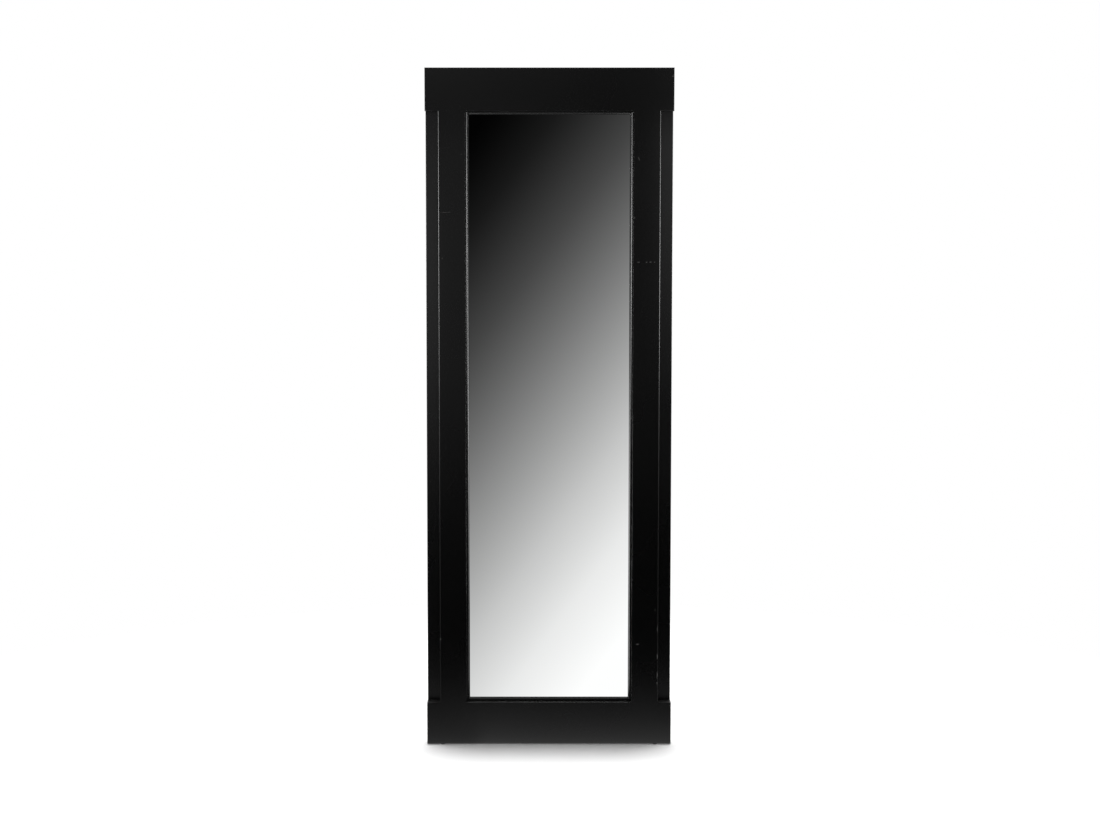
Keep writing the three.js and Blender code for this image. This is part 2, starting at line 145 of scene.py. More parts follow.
def spread(tree, value, fromLow, fromHigh, toLow=0.0, toHigh=1.0):
    node = put(
        tree, "ShaderNodeMapRange",
        clamp=True, Value=value, From_Min=fromLow, From_Max=fromHigh, To_Min=toLow, To_Max=toHigh,
    )
    return node.outputs["Result"]


def tint(tree, factor, low, high):
    node = put(tree, "ShaderNodeMix", data_type="RGBA")
    join(tree, factor, node.inputs[0])
    for socket, value in ((node.inputs[6], low), (node.inputs[7], high)):
        feed(tree, socket, (*value, 1.0) if isinstance(value, tuple) else value)
    return node.outputs[2]


def noiseAt(tree, vector, scale, detail=2.0, roughness=0.5):
    node = put(tree, "ShaderNodeTexNoise", Vector=vector, Scale=scale, Detail=detail, Roughness=roughness)
    return node.outputs["Fac"]


def objectPlace(tree):
    return tree.nodes.new("ShaderNodeTexCoord").outputs["Object"]


def axes(tree, vector):
    return put(tree, "ShaderNodeSeparateXYZ", Vector=vector).outputs


def emptyMaterial(name):
    material = bpy.data.materials.new(name)
    material.use_nodes = True
    material.node_tree.nodes.clear()
    return material, material.node_tree


def newMaterial(name):
    material, tree = emptyMaterial(name)
    shader = tree.nodes.new("ShaderNodeBsdfPrincipled")
    put(tree, "ShaderNodeOutputMaterial", Surface=shader.outputs[0])
    return material, tree, shader, objectPlace(tree)


def bumpInto(tree, shader, height, distance):
    node = put(tree, "ShaderNodeBump", Distance=distance, Strength=1.0, Height=height)
    join(tree, node.outputs[0], shader.inputs["Normal"])


# effects that several finishes share

def makeWornEdges():  # patchy mask along the arrises
    inputs = {"Radius": 0.0015, "Amount": 0.5, "Patch Scale": 60.0}
    tree, given, result = shaderGroup("wornEdges", inputs, "Mask")
    rounded = put(tree, "ShaderNodeBevel", samples=4, Radius=given["Radius"])
    flat = tree.nodes.new("ShaderNodeNewGeometry")
    dot = put(tree, "ShaderNodeVectorMath", operation="DOT_PRODUCT")
    join(tree, rounded.outputs[0], dot.inputs[0])
    join(tree, flat.outputs["True Normal"], dot.inputs[1])
    edge = spread(tree, minus(tree, 1.0, dot.outputs["Value"]), 0.02, 0.25)
    patch = noiseAt(tree, objectPlace(tree), given["Patch Scale"], 4.0)
    low = minus(tree, 0.75, times(tree, given["Amount"], 0.4))
    where = times(tree, minus(tree, patch, low), 8.0, clamp=True)
    join(tree, times(tree, edge, where, clamp=True), result.inputs["Mask"])
    return tree


def makeDustSpecks():  # sparse round specks
    inputs = {"Scale": 90.0, "Size": 0.08, "Sparsity": 0.9}
    tree, given, result = shaderGroup("dustSpecks", inputs, "Mask")
    cells = put(tree, "ShaderNodeTexVoronoi", Vector=objectPlace(tree), Scale=given["Scale"])
    near = minus(tree, given["Size"], cells.outputs["Distance"])
    dot = times(tree, near, 40.0, clamp=True)
    pick = put(tree, "ShaderNodeSeparateColor", Color=cells.outputs["Color"])
    chosen = maths(tree, "GREATER_THAN", pick.outputs[0], given["Sparsity"])
    join(tree, times(tree, dot, chosen), result.inputs["Mask"])
    return tree


markLook = {"wobble": 0.004, "wobbleScale": 90.0}  # m and per metre, so no edge of a mark is straight


def makeMark():  # one small scuff on the front, by its place, size and turn
    inputs = {"X": 0.0, "Z": 1.0, "Length": 0.02, "Width": 0.002, "Turn": 0.0, "Strength": 1.0}
    tree, given, result = shaderGroup("mark", inputs, "Mask")
    place = objectPlace(tree)
    apart = axes(tree, place)
    dx = minus(tree, apart["X"], given["X"])
    dz = minus(tree, apart["Z"], given["Z"])
    cosine = maths(tree, "COSINE", given["Turn"])
    sine = maths(tree, "SINE", given["Turn"])
    along = plus(tree, times(tree, dx, cosine), times(tree, dz, sine))
    across = minus(tree, times(tree, dz, cosine), times(tree, dx, sine))
    wobble = minus(tree, noiseAt(tree, place, markLook["wobbleScale"]), 0.5)
    across = plus(tree, across, times(tree, wobble, markLook["wobble"]))
    u = maths(tree, "DIVIDE", maths(tree, "ABSOLUTE", along), times(tree, given["Length"], 0.5))
    v = maths(tree, "DIVIDE", maths(tree, "ABSOLUTE", across), times(tree, given["Width"], 0.5))
    far = plus(tree, maths(tree, "POWER", u, 2.0), maths(tree, "POWER", v, 2.0))
    inside = minus(tree, 1.0, far, clamp=True)
    facing = axes(tree, tree.nodes.new("ShaderNodeNewGeometry").outputs["Normal"])
    front = maths(tree, "LESS_THAN", facing["Y"], -0.05)
    shown = times(tree, times(tree, inside, front), given["Strength"], clamp=True)
    join(tree, shown, result.inputs["Mask"])
    return tree


def makeFibres():  # fine streaks along Z and a cloudy tone
    inputs = {"Fineness": 500.0, "Cloud Scale": 3.0}
    tree, given, result = shaderGroup("fibres", inputs, "Streak", "Cloud")
    place = objectPlace(tree)
    long = put(tree, "ShaderNodeMapping", Vector=place, Scale=(1.0, 1.0, 0.03))
    streak = noiseAt(tree, long.outputs["Vector"], given["Fineness"], 5.0, 0.6)
    feedAll(tree, result, Streak=streak, Cloud=noiseAt(tree, place, given["Cloud Scale"], 3.0))
    return tree


wornEdges = makeWornEdges()
dustSpecks = makeDustSpecks()
mark = makeMark()
fibres = makeFibres()


# finishes

lacquerLook = {
    "black": (0.0013, 0.0013, 0.0014),
    "worn": (0.09, 0.088, 0.085),
    # painted light: a lighter tone on faces that point up, which lifts the shaded ledges and rail tops
    "dust": (0.035, 0.0345, 0.034),  # on what faces up
    "dustScale": 140.0,
    "roughness": 0.27,
    "wornRoughness": 0.35,  # what full wear adds
    "specular": 0.5,
    "edges": {"Radius": 0.0012, "Amount": 0.35},
    "edgeWear": 0.3,
    "specks": {"Scale": 70.0, "Size": 0.06, "Sparsity": 0.93},
    "speckWear": 0.2,
    "brushing": 240.0,  # streaks per metre
    "brushHeight": 0.35,  # share of the peel's height
    "peelScale": 260.0,  # orange peel, waves of about 4 mm
    "peelHeight": 0.000006,
}

# x, z, length, width (m), turn (degrees), strength
scuffs = [
    (-0.308, 1.605, 0.044, 0.0022, 2, 0.5),
    (-0.2605, 1.776, 0.006, 0.003, 30, 0.5),
    (-0.250, 1.484, 0.005, 0.004, 0, 0.6),
    (-0.318, 1.469, 0.005, 0.004, 0, 0.5),
    (0.2639, 1.763, 0.014, 0.003, -62, 0.9),
    (0.2521, 1.589, 0.008, 0.003, 80, 0.8),
    (0.2647, 1.458, 0.008, 0.004, 0, 0.9),
    (0.2885, 1.458, 0.006, 0.004, 0, 0.8),
    (0.3004, 1.458, 0.008, 0.004, 0, 0.9),
    (0.3122, 1.458, 0.005, 0.004, 0, 0.6),
    (0.2663, 0.308, 0.012, 0.004, 5, 0.7),
    (0.3188, 0.412, 0.006, 0.006, 0, 0.4),
    (-0.3267, 0.323, 0.005, 0.006, 0, 1.0),
    (0.3262, 0.354, 0.024, 0.003, 90, 0.55),
    (0.3262, 0.270, 0.020, 0.003, 90, 0.8),
    (0.3262, 0.213, 0.026, 0.003, 90, 0.8),
    (0.3262, 0.188, 0.014, 0.003, 90, 0.6),
    (0.3637, 2.005, 0.010, 0.005, 30, 0.6),
    (0.3290, 1.886, 0.012, 0.004, 90, 0.7),
]


def makeLacquer(name, look, marks=()):
    material, tree, shader, place = newMaterial(name)
    edges = useGroup(tree, wornEdges, **look["edges"])
    specks = useGroup(tree, dustSpecks, **look["specks"])
    brushed = useGroup(tree, fibres, Fineness=look["brushing"])
    wear = times(tree, edges["Mask"], look["edgeWear"])
    wear = maths(tree, "MAXIMUM", wear, times(tree, specks["Mask"], look["speckWear"]))
    for x, z, length, width, turn, strength in marks:
        values = {"X": x, "Z": z, "Length": length, "Width": width, "Turn": math.radians(turn)}
        one = useGroup(tree, mark, Strength=strength, **values)
        wear = maths(tree, "MAXIMUM", wear, one["Mask"])
    # painted light: faces that point up take the lighter tone, in patches
    upward = axes(tree, tree.nodes.new("ShaderNodeTexCoord").outputs["Normal"])["Z"]
    patches = spread(tree, noiseAt(tree, place, look["dustScale"], 4.0), 0.3, 0.6, 0.3, 1.0)
    upFaceLightMask = times(tree, spread(tree, upward, 0.85, 0.99), patches)
    base = tint(tree, upFaceLightMask, look["black"], look["dust"])
    cloudy = spread(tree, brushed["Cloud"], 0.3, 0.7, look["roughness"] - 0.03, look["roughness"] + 0.04)
    feedAll(
        tree, shader,
        Base_Color=tint(tree, wear, base, look["worn"]),
        Roughness=plus(tree, cloudy, times(tree, wear, look["wornRoughness"])),
        Specular_IOR_Level=look["specular"],
    )
    streak = times(tree, brushed["Streak"], look["brushHeight"])
    peel = noiseAt(tree, place, look["peelScale"])
    bumpInto(tree, shader, plus(tree, peel, streak), look["peelHeight"])
    return material


def makeMirror():
    material, tree, shader, place = newMaterial("silveredGlass")
    haze = noiseAt(tree, place, 5.0, 3.0)
    silver = tint(tree, haze, (0.915, 0.925, 0.92), (0.93, 0.937, 0.933))
    feedAll(tree, shader, Base_Color=silver, Metallic=1.0, Roughness=0.0)
    return material


def makeFibreboard():
    material, tree, shader, place = newMaterial("bareFibreboard")
    grain = useGroup(tree, fibres, Fineness=180.0, Cloud_Scale=2.5)
    fleck = noiseAt(tree, place, 900.0, 3.0, 0.7)
    tone = plus(tree, times(tree, grain["Cloud"], 0.6), times(tree, fleck, 0.4))
    board = tint(tree, spread(tree, tone, 0.3, 0.7), (0.17, 0.098, 0.048), (0.27, 0.168, 0.088))
    feedAll(tree, shader, Base_Color=board, Roughness=spread(tree, fleck, 0.2, 0.8, 0.62, 0.85))
    bumpInto(tree, shader, fleck, 0.00012)
    return material


def makeTimber():
    material, tree, shader = newMaterial("bareBeech")[:3]
    tone = spread(tree, useGroup(tree, fibres, Fineness=420.0)["Streak"], 0.3, 0.7)
    beech = tint(tree, tone, (0.42, 0.25, 0.12), (0.6, 0.4, 0.21))
    feedAll(tree, shader, Base_Color=beech, Roughness=spread(tree, tone, 0.0, 1.0, 0.5, 0.7))
    bumpInto(tree, shader, tone, 0.0001)
    return material


def makeZinc():
    material, tree, shader, place = newMaterial("zincPlate")
    edges = useGroup(tree, wornEdges, Radius=0.0005, Amount=0.6, Patch_Scale=500.0)
    cloud = noiseAt(tree, place, 220.0, 4.0)
    plate = tint(tree, spread(tree, cloud, 0.3, 0.7), (0.50, 0.50, 0.50), (0.64, 0.65, 0.66))
    feedAll(
        tree, shader,
        Base_Color=tint(tree, edges["Mask"], plate, (0.75, 0.75, 0.76)),
        Roughness=spread(tree, cloud, 0.3, 0.7, 0.24, 0.38), Metallic=1.0,
    )
    bumpInto(tree, shader, noiseAt(tree, place, 2600.0), 0.00001)
    return material


def makeRubber():
    material, tree, shader, place = newMaterial("blackRubber")
    fine = noiseAt(tree, place, 1500.0, 3.0)
    bloom = spread(tree, noiseAt(tree, place, 120.0, 3.0), 0.4, 0.75)
    black = tint(tree, bloom, (0.016, 0.016, 0.016), (0.034, 0.034, 0.033))
    feedAll(tree, shader, Base_Color=black, Roughness=spread(tree, fine, 0.2, 0.8, 0.6, 0.85))
    bumpInto(tree, shader, fine, 0.00005)
    return material


def makeFoam():
    material, tree, shader, place = newMaterial("whiteFoam")
    cells = put(tree, "ShaderNodeTexVoronoi", Vector=place, Scale=900.0).outputs["Distance"]
    white = tint(tree, cells, (0.6, 0.6, 0.57), (0.74, 0.74, 0.7))
    feedAll(tree, shader, Base_Color=white, Roughness=spread(tree, cells, 0.0, 1.0, 0.8, 0.95))
    bumpInto(tree, shader, cells, 0.0003)
    return material


# noise: scale, detail and roughness; then two tones and two roughnesses; relief in m
mottledLooks = {
    "darkFelt": {
        "noise": (2200.0, 5.0, 0.8), "tones": ((0.025, 0.023, 0.021), (0.075, 0.07, 0.064)),
        "roughness": (0.9, 1.0), "sheen": 0.4, "relief": 0.0003,
    },
    "groundGlassEdge": {
        "noise": (1800.0, 3.0, 0.5), "tones": ((0.12, 0.2, 0.17), (0.2, 0.3, 0.26)),
        "roughness": (0.35, 0.6), "sheen": 0.0, "relief": 0.00003,
    },
    "silverBackingPaint": {
        "noise": (14.0, 4.0, 0.5), "tones": ((0.14, 0.15, 0.16), (0.2, 0.21, 0.22)),
        "roughness": (0.4, 0.55), "sheen": 0.0, "relief": None,
    },
}


def makeMottled(name):
    look = mottledLooks[name]
    material, tree, shader, place = newMaterial(name)
    fleck = noiseAt(tree, place, *look["noise"])
    feedAll(
        tree, shader,
        Base_Color=tint(tree, fleck, *look["tones"]),
        Roughness=spread(tree, fleck, 0.2, 0.8, *look["roughness"]), Sheen_Weight=look["sheen"],
    )
    if look["relief"]:
        bumpInto(tree, shader, fleck, look["relief"])
    return material


lacquer = makeLacquer("blackLacquer", lacquerLook, scuffs)
stripLacquer = makeLacquer("blackStripLacquer", {**lacquerLook, "specular": 0.75}, scuffs)
beadLacquer = makeLacquer("blackBeadLacquer", {**lacquerLook, "roughness": 0.2})
backPaintLook = {**lacquerLook, "black": (0.012, 0.012, 0.0125), "roughness": 0.55, "specular": 0.3}
backPaint = makeLacquer("blackBackPaint", backPaintLook)
blackSteel = makeLacquer("blackedSteel", {**lacquerLook, "black": (0.015, 0.015, 0.016), "roughness": 0.35})
mirrorFinish = makeMirror()
fibreboard = makeFibreboard()
timber = makeTimber()
zinc = makeZinc()
rubber = makeRubber()
foam = makeFoam()
felt = makeMottled("darkFelt")
groundEdge = makeMottled("groundGlassEdge")
silverBacking = makeMottled("silverBackingPaint")
print("finishes made")


# pieces

weldDistance = 1e-6
flatAngle = math.radians(0.5)


def named(*starts):
    return [name for name in nodes if name.startswith(starts)]


def quarterTurn(steps):
    return [math.pi / 2 * i / steps for i in range(steps + 1)]


def meshFrom(bm, name):
    mesh = bpy.data.meshes.new(name)
    bm.to_mesh(mesh)
    bm.free()
    return mesh


def addPiece(name, mesh, material, replaced=(), body="mirror_body"):
    mesh.name = name
    piece = bpy.data.objects.new(name, mesh)
    scene.collection.objects.link(piece)
    if material:
        mesh.materials.clear()
        mesh.materials.append(material)
    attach(piece, body)
    if replaced:
        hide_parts(*replaced)


def finishedMesh(mesh, *modifiers, smoothBelow=40):
    # smooth faces with sharp edges above that angle, then the given modifiers, then weighted normals
    bm = bmesh.new()
    bm.from_mesh(mesh)
    bmesh.ops.remove_doubles(bm, verts=bm.verts, dist=weldDistance)
    limit = math.radians(smoothBelow)
    for face in bm.faces:
        face.smooth = True
    for edge in bm.edges:
        edge.smooth = len(edge.link_faces) == 2 and edge.calc_face_angle(0.0) < limit
    bm.to_mesh(mesh)
    bm.free()
    if "custom_normal" in mesh.attributes:
        mesh.attributes.remove(mesh.attributes["custom_normal"])
    holder = bpy.data.objects.new("holder", mesh)
    scene.collection.objects.link(holder)
    for kind, settings in modifiers:
        modifier = holder.modifiers.new(kind, kind)
        for key, value in settings.items():
            setattr(modifier, key, value)
    weigh = holder.modifiers.new("weigh", "WEIGHTED_NORMAL")
    weigh.keep_sharp = True
    weigh.weight = 100
    depsgraph = bpy.context.evaluated_depsgraph_get()
    done = bpy.data.meshes.new_from_object(holder.evaluated_get(depsgraph))
    bpy.data.objects.remove(holder)
    return done


# Geometry Nodes helpers

def shapeTree(name, inputs):
    tree = bpy.data.node_groups.new(name, "GeometryNodeTree")
    tree.interface.new_socket("Geometry", in_out="INPUT", socket_type="NodeSocketGeometry")
    kinds = {int: "NodeSocketInt", float: "NodeSocketFloat"}
    for label, value in inputs.items():
        socket = tree.interface.new_socket(label, in_out="INPUT", socket_type=kinds[type(value)])
        socket.default_value = value
    tree.interface.new_socket("Material", in_out="INPUT", socket_type="NodeSocketMaterial")
    tree.interface.new_socket("Geometry", in_out="OUTPUT", socket_type="NodeSocketGeometry")
    given = tree.nodes.new("NodeGroupInput")
    return tree, given.outputs, tree.nodes.new("NodeGroupOutput")


def grow(tree, source, material, values):
    # runs the tree on a mesh and returns the result as a plain mesh
    holder = bpy.data.objects.new("holder", source)
    scene.collection.objects.link(holder)
    modifier = holder.modifiers.new("shape", "NODES")
    modifier.node_group = tree
    for item in tree.interface.items_tree:
        if item.in_out == "INPUT" and item.name in values:
            modifier[item.identifier] = values[item.name]
        elif item.in_out == "INPUT" and item.name == "Material":
            modifier[item.identifier] = material
    depsgraph = bpy.context.evaluated_depsgraph_get()
    mesh = bpy.data.meshes.new_from_object(holder.evaluated_get(depsgraph))
    holder.modifiers.clear()
    bpy.data.objects.remove(holder)
    mesh.materials.clear()
    mesh.materials.append(material)
    for face in mesh.polygons:
        face.material_index = 0
    return mesh


def dots(points, joined=False):
    # bare points, or one line through them
    mesh = bpy.data.meshes.new("dots")
    edges = [(i, i + 1) for i in range(len(points) - 1)] if joined else []
    mesh.from_pydata(points, edges, [])
    return mesh


def sizeSum(tree, given, terms):
    # a size written as a sum of named inputs, each times a share
    total = None
    for label, share in terms.items():
        part = times(tree, given[label], share)
        total = part if total is None else plus(tree, total, part)
    return total


def turnedForm(tree, given, rings):
    # closed form turned about Z, through rings of (radius, height), from the bottom ring up
    sizes = [(sizeSum(tree, given, radius), sizeSum(tree, given, height)) for radius, height in rings]
    steps = given["Steps"]
    disc = put(tree, "GeometryNodeMeshCircle", fill_type="NGON", Vertices=steps, Radius=sizes[0][0])
    shape, top = disc.outputs["Mesh"], None
    for (radius, height), (nextRadius, nextHeight) in zip(sizes, sizes[1:]):
        lift = put(tree, "ShaderNodeCombineXYZ", Z=minus(tree, nextHeight, height))
        raised = put(
            tree, "GeometryNodeExtrudeMesh",
            Individual=False, Offset_Scale=1.0, Mesh=shape, Offset=lift.outputs[0],
        )
        if top:
            join(tree, top, raised.inputs["Selection"])
        sized = put(
            tree, "GeometryNodeScaleElements",
            Geometry=raised.outputs["Mesh"], Selection=raised.outputs["Top"],
            Scale=maths(tree, "DIVIDE", nextRadius, radius),
        )
        shape, top = sized.outputs["Geometry"], raised.outputs["Top"]
    under = put(tree, "GeometryNodeFlipFaces", Mesh=disc.outputs["Mesh"])
    both = tree.nodes.new("GeometryNodeJoinGeometry")
    join(tree, shape, both.inputs[0])
    join(tree, under.outputs[0], both.inputs[0])
    closed = put(tree, "GeometryNodeMergeByDistance", Distance=weldDistance, Geometry=both.outputs[0])
    base = put(tree, "ShaderNodeCombineXYZ", Z=sizes[0][1])
    placed = put(tree, "GeometryNodeTransform", Geometry=closed.outputs[0], Translation=base.outputs[0])
    return placed.outputs[0]


def setOnPoints(tree, given, result, form, tilt):
    # one copy on each point of the modifier's mesh, tilted from +Z, with a turn of its own
    copies = put(tree, "GeometryNodeInstanceOnPoints", Points=given["Geometry"], Instance=form)
    copies.inputs["Rotation"].default_value = (math.radians(tilt), 0, 0)
    chance = put(tree, "FunctionNodeRandomValue", Min=0.0, Max=math.tau, Seed=given["Seed"])
    turn = next(s for s in chance.outputs if s.enabled)
    angle = put(tree, "ShaderNodeCombineXYZ", Z=turn)
    spin = put(tree, "GeometryNodeRotateInstances", Instances=copies.outputs[0], Rotation=angle.outputs[0])
    real = put(tree, "GeometryNodeRealizeInstances", Geometry=spin.outputs[0])
    dress(tree, given, result, real.outputs[0])


def dress(tree, given, result, form):
    coated = put(tree, "GeometryNodeSetMaterial", Geometry=form, Material=given["Material"])
    join(tree, coated.outputs[0], result.inputs["Geometry"])


# frame boards: the CAD boards with eased long edges

boardLook = {
    "ease": 0.0005,  # m, on edges that the CAD leaves sharp
    "easeSteps": 2,
    "shortest": 0.03,  # shorter edges stay as they are
    "sharpAbove": 60,  # degrees between the faces; flatter edges stay as they are
    "touch": 0.0001,  # m, within which two places count as one
    "backSkin": 0.0004,  # m, what counts as the rear stiles' back
}


def plainSolid(node):
    # the CAD solid without the lines that divide its flat faces
    bm = bmesh.new()
    bm.from_mesh(nodes[node].data)
    bmesh.ops.remove_doubles(bm, verts=bm.verts, dist=weldDistance)
    bmesh.ops.dissolve_limit(bm, angle_limit=flatAngle, verts=bm.verts, edges=bm.edges)
    return bm


def easedBoard(node, jointHeights):
    # eases the long sharp edges, except those of flush joints between the face boards
    bm = plainSolid(node)
    low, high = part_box(node)
    touch = boardLook["touch"]
    long = []
    sharp = math.radians(boardLook["sharpAbove"])
    for edge in bm.edges:
        if len(edge.link_faces) != 2 or edge.calc_face_angle(0.0) < sharp:
            continue
        ends = [vert.co for vert in edge.verts]
        flush = any(all(abs(end.z - height) < touch for end in ends) for height in jointHeights)
        outer = all(
            sum(min(abs(end[i] - low[i]), abs(end[i] - high[i])) < touch for i in range(3)) >= 2
            for end in ends
        )
        if outer and not flush and edge.calc_length() > boardLook["shortest"]:
            long.append(edge)
    bmesh.ops.bevel(
        bm, geom=long, offset=boardLook["ease"], segments=boardLook["easeSteps"], profile=0.5, affect="EDGES"
    )
    return finishedMesh(meshFrom(bm, node))


def makeFrameBoards():
    joints = (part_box("left_stile")[0].z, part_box("left_stile")[1].z)
    for edge in ("top", "bottom"):
        board = easedBoard(f"{edge}_rail", joints)
        addPiece(f"{edge}RailBoard", board, lacquer, [f"{edge}_rail"])
        board = easedBoard(f"rear_rail_{edge}", ())
        addPiece(f"{edge}RearRail", board, backPaint, [f"rear_rail_{edge}"])
    for side in sides:
        board = easedBoard(f"{side}_stile", joints)
        addPiece(f"{side}StileBoard", board, lacquer, [f"{side}_stile"])
        node = f"rear_stile_{side}"
        board = easedBoard(node, ())
        addPiece(f"{side}RearStile", board, stripLacquer, [node])
        board.materials.append(backPaint)
        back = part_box(node)[1].y - boardLook["backSkin"]
        for face in board.polygons:
            if face.center.y > back:
                face.material_index = 1


# bead round the glass: one gently convex moulding with mitred corners

beadLook = {
    "width": 0.0095,
    "depth": 0.011,
    "innerEdge": 0.127,  # share of the depth
    "frontLand": 0.263,  # share of the width
    "fullness": 0.3,  # of the curve between them
    "steps": 14,
}


def makeBead():
    sizes = {"Width": beadLook["width"], "Depth": beadLook["depth"]}
    tree, given, result = shapeTree("beadMoulding", sizes)
    flag = put(tree, "GeometryNodeInputNamedAttribute", data_type="BOOLEAN", Name="profile")
    parts = put(
        tree, "GeometryNodeSeparateGeometry",
        Geometry=given["Geometry"], Selection=next(s for s in flag.outputs if s.enabled),
    )
    mitreWidth = times(tree, given["Width"], -math.sqrt(2))
    size = put(tree, "ShaderNodeCombineXYZ", X=mitreWidth, Y=times(tree, given["Depth"], -1.0), Z=1.0)
    sized = put(tree, "GeometryNodeTransform", Geometry=parts.outputs["Selection"], Scale=size.outputs[0])
    section = put(tree, "GeometryNodeMeshToCurve", Mesh=sized.outputs[0])
    path = put(tree, "GeometryNodeMeshToCurve", Mesh=parts.outputs["Inverted"])
    swept = put(tree, "GeometryNodeCurveToMesh", Curve=path.outputs[0], Profile_Curve=section.outputs[0])
    stood = put(
        tree, "GeometryNodeTransform",
        Geometry=swept.outputs[0], Rotation=(math.radians(90), 0, 0),
        Translation=(0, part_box("bead_left")[1].y, 0),
    )
    dress(tree, given, result, stood.outputs[0])

    left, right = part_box("bead_left"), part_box("bead_right")
    bottom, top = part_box("bead_bottom"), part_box("bead_top")
    x0, x1, z0, z1 = left[0].x, right[1].x, bottom[0].z, top[1].z
    inner, land, fullness = beadLook["innerEdge"], beadLook["frontLand"], beadLook["fullness"]
    # one smooth curve from the front land to the inner edge
    full = [(1 + low) / 2 + fullness * (1 - low) / 2 for low in (land, inner)]
    profile = [(0, 0), (1, 0)]
    for i in range(beadLook["steps"] + 1):
        share = i / beadLook["steps"]
        weights = ((1 - share) ** 2, 2 * share * (1 - share), share ** 2)
        profile.append(tuple(
            sum(weight * value for weight, value in zip(weights, values))
            for values in ((1, full[0], land), (inner, full[1], 1))
        ))
    profile.append((0, 1))
    corners = [(x0, z0), (x1, z0), (x1, z1), (x0, z1)]
    count = len(profile)
    source = bpy.data.meshes.new("beadSource")
    edges = [(i, (i + 1) % count) for i in range(count)]
    edges += [(count + i, count + (i + 1) % 4) for i in range(4)]
    source.from_pydata([(x, y, 0) for x, y in profile] + [(x, z, 0) for x, z in corners], edges, [])
    marks = source.attributes.new("profile", "BOOLEAN", "POINT")
    marks.data.foreach_set("value", [True] * count + [False] * 4)
    mesh = finishedMesh(grow(tree, source, beadLacquer, sizes))
    replaced = [f"bead_{place}" for place in ("left", "right", "bottom", "top")]
    addPiece("glassBead", mesh, None, replaced)


# screws: pan heads with a cross recess

screwSizes = {
    "small": {"Head Radius": 0.004, "Head Height": 0.0022, "Shank Radius": 0.0018, "Shank Length": 0.016},
    "large": {"Head Radius": 0.0044, "Head Height": 0.0026, "Shank Radius": 0.0021, "Shank Length": 0.015},
    "frame": {"Head Radius": 0.0042, "Head Height": 0.0022, "Shank Radius": 0.002, "Shank Length": 0.034},
    "recess": 0.0012,
    "frameScrewX": 0.290,
    "frameScrewHeights": [0.21, 0.46, 0.74, 1.29, 1.57, 1.80],
    "frameScrewAcross": [-0.21, -0.07, 0.07, 0.21],
}


def makeScrewTree():
    inputs = {**screwSizes["small"], "Recess Width": screwSizes["recess"], "Steps": 28, "Seed": 3}
    tree, given, result = shapeTree("crossScrew", inputs)
    head, high, shank, long = "Head Radius", "Head Height", "Shank Radius", "Shank Length"
    rings = [({shank: 0.12}, {long: -1.0}), ({shank: 1.0}, {long: -0.76}), ({shank: 1.0}, {high: 0.0})]
    rings += [({head: 0.97}, {high: 0.0}), ({head: 1.0}, {high: 0.04}), ({head: 1.0}, {high: 0.16})]
    for turn in quarterTurn(8)[1:-1]:
        rings.append(({head: math.cos(turn)}, {high: 0.16 + 0.84 * math.sin(turn)}))
    body = turnedForm(tree, given, rings)
    cuts = []
    for turn in (0, 90):
        size = put(
            tree, "ShaderNodeCombineXYZ",
            X=times(tree, given[head], 1.15), Y=given["Recess Width"],
            Z=times(tree, given[high], 1.2),
        )
        bar = put(tree, "GeometryNodeMeshCube", Size=size.outputs[0])
        lift = put(tree, "ShaderNodeCombineXYZ", Z=given[high])
        placed = put(
            tree, "GeometryNodeTransform",
            Geometry=bar.outputs[0], Translation=lift.outputs[0], Rotation=(0, 0, math.radians(turn)),
        )
        cuts.append(placed.outputs[0])
    recessed = put(tree, "GeometryNodeMeshBoolean", operation="DIFFERENCE", solver="MANIFOLD", Mesh_1=body)
    for bar in cuts:
        join(tree, bar, recessed.inputs["Mesh 2"])
    setOnPoints(tree, given, result, recessed.outputs["Mesh"], -90)
    return tree


def seatOf(node, length=0.0):
    # the middle of a fitting's inner end, or a length further out
    low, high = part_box(node)
    return ((low.x + high.x) / 2, low.y + length, (low.z + high.z) / 2)


def makeScrews():
    tree = makeScrewTree()
    small, large = named("button_screw", "bumper_screw"), named("hanger_screw")
    for name, size, replaced in (("smallScrews", "small", small), ("strapScrews", "large", large)):
        seats = [seatOf(node, screwSizes[size]["Shank Length"]) for node in replaced]
        mesh = finishedMesh(grow(tree, dots(seats), zinc, screwSizes[size]), smoothBelow=35)
        addPiece(name, mesh, None, replaced)
    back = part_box("rear_stile_left")[1].y
    across, heights = screwSizes["frameScrewX"], screwSizes["frameScrewHeights"]
    seats = [(side * across, back, z) for side in (-1, 1) for z in heights]
    for rail in ("rear_rail_bottom", "rear_rail_top"):
        seats += [(x, back, seatOf(rail)[2]) for x in screwSizes["frameScrewAcross"]]
    values = {**screwSizes["frame"], "Seed": 8}
    mesh = finishedMesh(grow(tree, dots(seats), blackSteel, values), smoothBelow=35)
    addPiece("frameScrews", mesh, None)


# rubber bumpers and felt pads, turned and set on points

bumperSizes = {
    "Radius": 0.010, "Top Radius": 0.0085, "Height": 0.009, "Edge": 0.0012, "Recess": 0.0052, "Depth": 0.005,
}
padSizes = {"Radius": 0.007, "Thickness": 0.002}
padFuzz = {"scale": 1800.0, "depth": 0.07}  # per metre, and as a share of the radius


